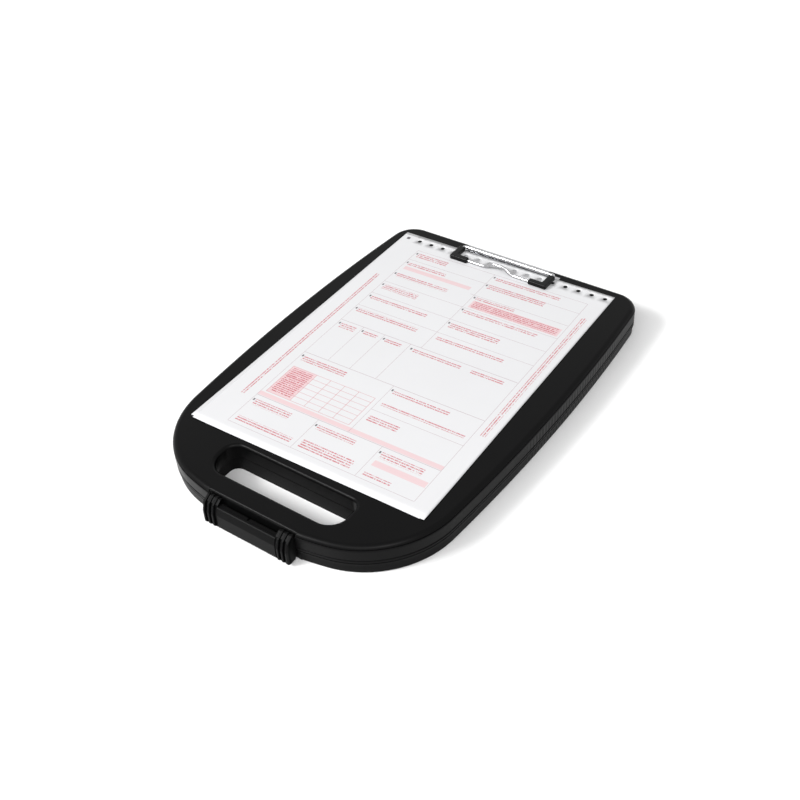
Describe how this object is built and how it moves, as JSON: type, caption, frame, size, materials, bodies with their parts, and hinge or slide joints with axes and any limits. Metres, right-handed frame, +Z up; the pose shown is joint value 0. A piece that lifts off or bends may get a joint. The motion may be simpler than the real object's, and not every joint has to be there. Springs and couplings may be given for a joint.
{
  "type": "storage clipboard box",
  "caption": "Shallow storage box with a hinged lid that is a clipboard: spring bail clip, handle slot and front latch.",
  "frame": {"origin": "centre of the box's outline on its underside, the face that it rests on", "axes": "X across the box, +Y lengthwise towards the clip and the hinges, +Z up out of the lid"},
  "size_m": [0.261, 0.3896, 0.0361],
  "materials": {
    "tray_plastic": "fine moulded texture",
    "lid_plastic": "fine moulded texture",
    "latch_plastic": "smooth moulded",
    "grip_plastic": "satin",
    "pin_steel": "drawn",
    "rivet_steel": "zinc plated",
    "spring_steel": "drawn",
    "clip_chrome": "polished",
    "wire_chrome": "polished",
    "form_paper": "matt paper with a faint printed form",
    "plain_paper": "matt paper"
  },
  "bodies": {
    "tray": {"base_tray": "tray_plastic", "hinge_pin_left": "pin_steel", "hinge_pin_right": "pin_steel", "latch_pin": "pin_steel"},
    "lid": {"lid_shell": "lid_plastic", "clip_plate": "clip_chrome", "clip_rivets": "rivet_steel", "rivet_washers": "rivet_steel", "torsion_spring": "spring_steel", "form_sheet": "form_paper", "under_sheet": "plain_paper"},
    "latch": {"latch": "latch_plastic"},
    "bail": {"bail_wire": "wire_chrome", "grip_left": "grip_plastic", "grip_right": "grip_plastic"}
  },
  "joints": [
    {"name": "lid_hinge", "type": "hinge", "parent": "tray", "child": "lid", "pos_m": [0, 0.1916, 0.0135], "axis": [-1, 0, 0], "range_deg": [0, 110]},
    {"name": "latch_hinge", "type": "hinge", "parent": "tray", "child": "latch", "pos_m": [0, -0.1902, 0.0064], "axis": [1, 0, 0], "range_deg": [0, 80]},
    {"name": "bail_hinge", "type": "hinge", "parent": "lid", "child": "bail", "pos_m": [0, 0.1779, 0.0295], "axis": [-1, 0, 0], "range_deg": [0, 70], "stiffness_Nm_per_rad": 0.15, "springref_deg": -28.65}
  ]
}
